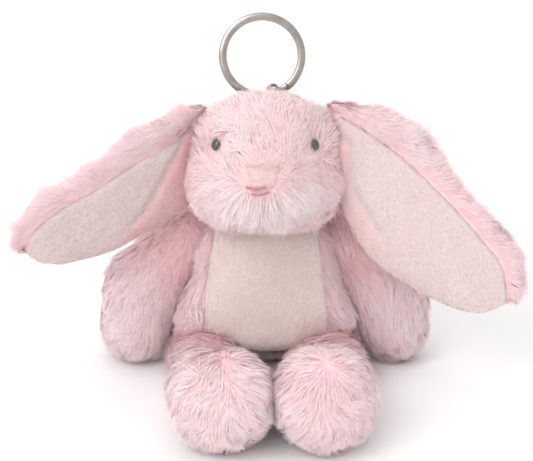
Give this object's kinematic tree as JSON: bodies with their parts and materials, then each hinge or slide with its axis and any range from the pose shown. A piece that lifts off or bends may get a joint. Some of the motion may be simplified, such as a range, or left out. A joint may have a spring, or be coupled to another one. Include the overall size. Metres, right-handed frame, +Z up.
{
  "type": "plush keychain",
  "caption": "Small fluffy sitting toy rabbit with long drooping ears, hung by a ribbon loop and jump ring from a flat wire split key ring.",
  "frame": {"origin": "on the flat face of the seat, in the plane of symmetry, 8 mm in front of the seat panel's middle", "axes": "+X is the rabbit's own left side as a viewer in front sees it on the right, -Y is the way its face looks, +Z is up"},
  "size_m": [0.1746, 0.1198, 0.1281],
  "materials": {
    "long_pile": "long fluffy pile, pale tips and deeper pink roots",
    "short_pile": "smooth short pile, cream with a pink cast",
    "filling": "loose white polyester fibre",
    "pouch": "thin woven bag of plastic pellets",
    "label": "plain white satin tape, blank",
    "thread": "rose embroidery thread",
    "bead": "polished dark bead",
    "washer": "moulded locking washer",
    "ribbon": "narrow woven ribbon",
    "nickel": "polished nickel plate on steel wire"
  },
  "bodies": {
    "torso": {"torso_side_left": "long_pile", "torso_side_right": "long_pile", "belly_panel": "short_pile", "seat_panel": "short_pile", "torso_stuffing": "filling", "pellet_pouch": "pouch", "care_label": "label", "tail_cover": "long_pile", "tail_stuffing": "filling"},
    "neck": {"neck_seam_thread": "thread"},
    "head": {"head_side_left": "long_pile", "head_side_right": "long_pile", "head_gusset": "long_pile", "head_stuffing": "filling", "eye_left": "bead", "eye_right": "bead", "eye_washer_left": "washer", "eye_washer_right": "washer", "mouth_stitch": "thread", "hanging_loop": "ribbon"},
    "ear_left": {"ear_left_back": "long_pile", "ear_left_lining": "short_pile", "ear_left_wadding": "filling"},
    "ear_right": {"ear_right_back": "long_pile", "ear_right_lining": "short_pile", "ear_right_wadding": "filling"},
    "arm_left": {"arm_left_front": "long_pile", "arm_left_back": "long_pile", "arm_left_stuffing": "filling"},
    "arm_right": {"arm_right_front": "long_pile", "arm_right_back": "long_pile", "arm_right_stuffing": "filling"},
    "leg_left": {"leg_left_outer": "long_pile", "leg_left_inner": "long_pile", "leg_left_stuffing": "filling"},
    "leg_right": {"leg_right_outer": "long_pile", "leg_right_inner": "long_pile", "leg_right_stuffing": "filling"},
    "jump_ring": {"jump_ring": "nickel"},
    "split_ring": {"split_ring": "nickel"}
  },
  "joints": [
    {"name": "neck_turn", "type": "hinge", "parent": "torso", "child": "neck", "pos_m": [0, -0.003, 0.049], "axis": [0, 0, 1], "range_deg": [-12, 12], "stiffness_Nm_per_rad": 0.05},
    {"name": "head_nod", "type": "hinge", "parent": "neck", "child": "head", "pos_m": [0, -0.003, 0.049], "axis": [1, 0, 0], "range_deg": [-10, 10], "stiffness_Nm_per_rad": 0.2},
    {"name": "ear_left_lift", "type": "hinge", "parent": "head", "child": "ear_left", "pos_m": [-0.026, -0.012, 0.0915], "axis": [-0.4455, 0.8704, 0.2095], "range_deg": [0, 80]},
    {"name": "ear_right_lift", "type": "hinge", "parent": "head", "child": "ear_right", "pos_m": [0.026, -0.012, 0.0915], "axis": [-0.2364, -0.962, 0.1368], "range_deg": [0, 80]},
    {"name": "arm_left_swing", "type": "hinge", "parent": "torso", "child": "arm_left", "pos_m": [-0.031, 0.004, 0.0435], "axis": [-1, 0, 0], "range_deg": [-60, 6], "stiffness_Nm_per_rad": 0.02},
    {"name": "leg_left_swing", "type": "hinge", "parent": "torso", "child": "leg_left", "pos_m": [-0.0215, -0.012, 0.0123], "axis": [-1, 0, 0], "range_deg": [-90, 15], "stiffness_Nm_per_rad": 0.1},
    {"name": "arm_right_swing", "type": "hinge", "parent": "torso", "child": "arm_right", "pos_m": [0.031, 0.004, 0.0435], "axis": [-1, 0, 0], "range_deg": [-60, 6], "stiffness_Nm_per_rad": 0.02},
    {"name": "leg_right_swing", "type": "hinge", "parent": "torso", "child": "leg_right", "pos_m": [0.0215, -0.012, 0.0123], "axis": [-1, 0, 0], "range_deg": [-90, 15], "stiffness_Nm_per_rad": 0.1},
    {"name": "jump_ring_tilt", "type": "hinge", "parent": "head", "child": "jump_ring", "pos_m": [0.0022, 0.001, 0.0962], "axis": [0, 1, 0], "range_deg": [-15, 15]},
    {"name": "split_ring_swing", "type": "hinge", "parent": "jump_ring", "child": "split_ring", "pos_m": [0.0022, 0.001, 0.1005], "axis": [1, 0, 0], "range_deg": [-70, 75]}
  ]
}
